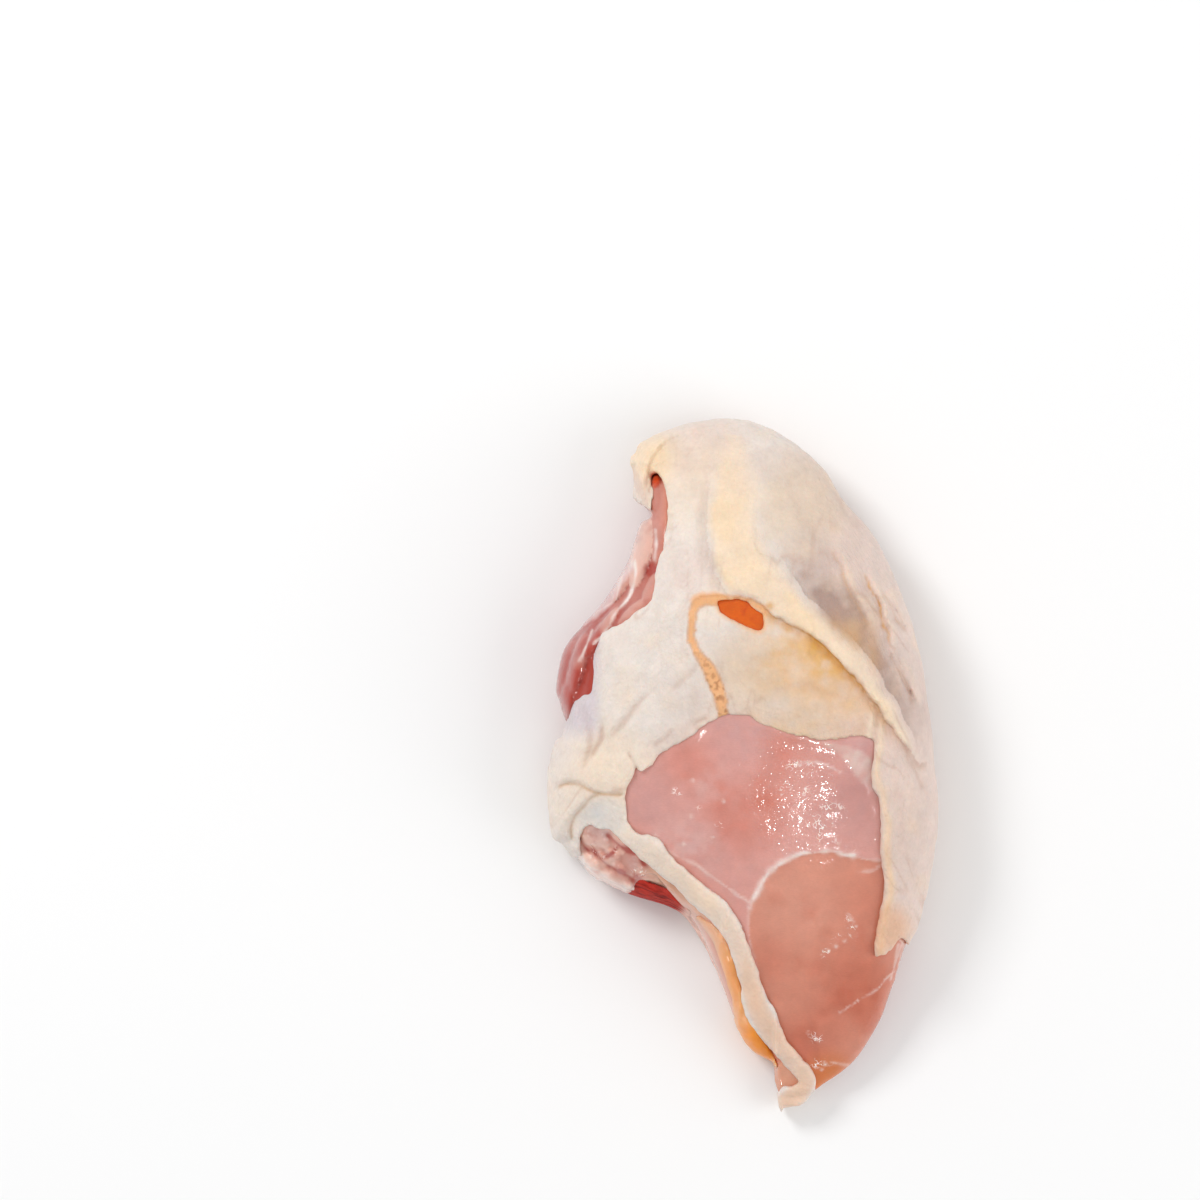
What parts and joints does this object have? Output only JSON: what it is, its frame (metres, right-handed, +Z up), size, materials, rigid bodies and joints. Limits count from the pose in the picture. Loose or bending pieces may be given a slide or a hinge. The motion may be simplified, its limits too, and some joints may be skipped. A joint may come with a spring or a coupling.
{
  "type": "raw bone-in chicken breast",
  "caption": "Raw bone-in chicken breast half lying skin side up, its pale skin torn back from the pink meat, with rib bones and breastbone on the underside.",
  "frame": {"origin": "on the table under the middle of the piece", "axes": "+Z up off the table, +Y from the pointed tail to the shoulder, +X from the keel edge to the outer flank"},
  "size_m": [0.1168, 0.206, 0.0502],
  "materials": {
    "raw_muscle": "wet raw muscle, pale salmon pink with white membranes",
    "raw_skin": "moist raw poultry skin, cream to pinkish grey",
    "cut_bone": "freshly cut bone with red marrow",
    "keel_fat": "wet orange fat and cartilage",
    "bone": "pale pink bone under a thin wet membrane"
  },
  "bodies": {
    "root": {"breast_meat": "raw_muscle", "skin": "raw_skin", "breastbone": "cut_bone", "keel_fat": "keel_fat", "coracoid": "bone", "rib_1": "bone", "rib_2": "bone", "rib_3": "bone", "rib_4": "bone", "rib_5": "bone"}
  },
  "joints": []
}
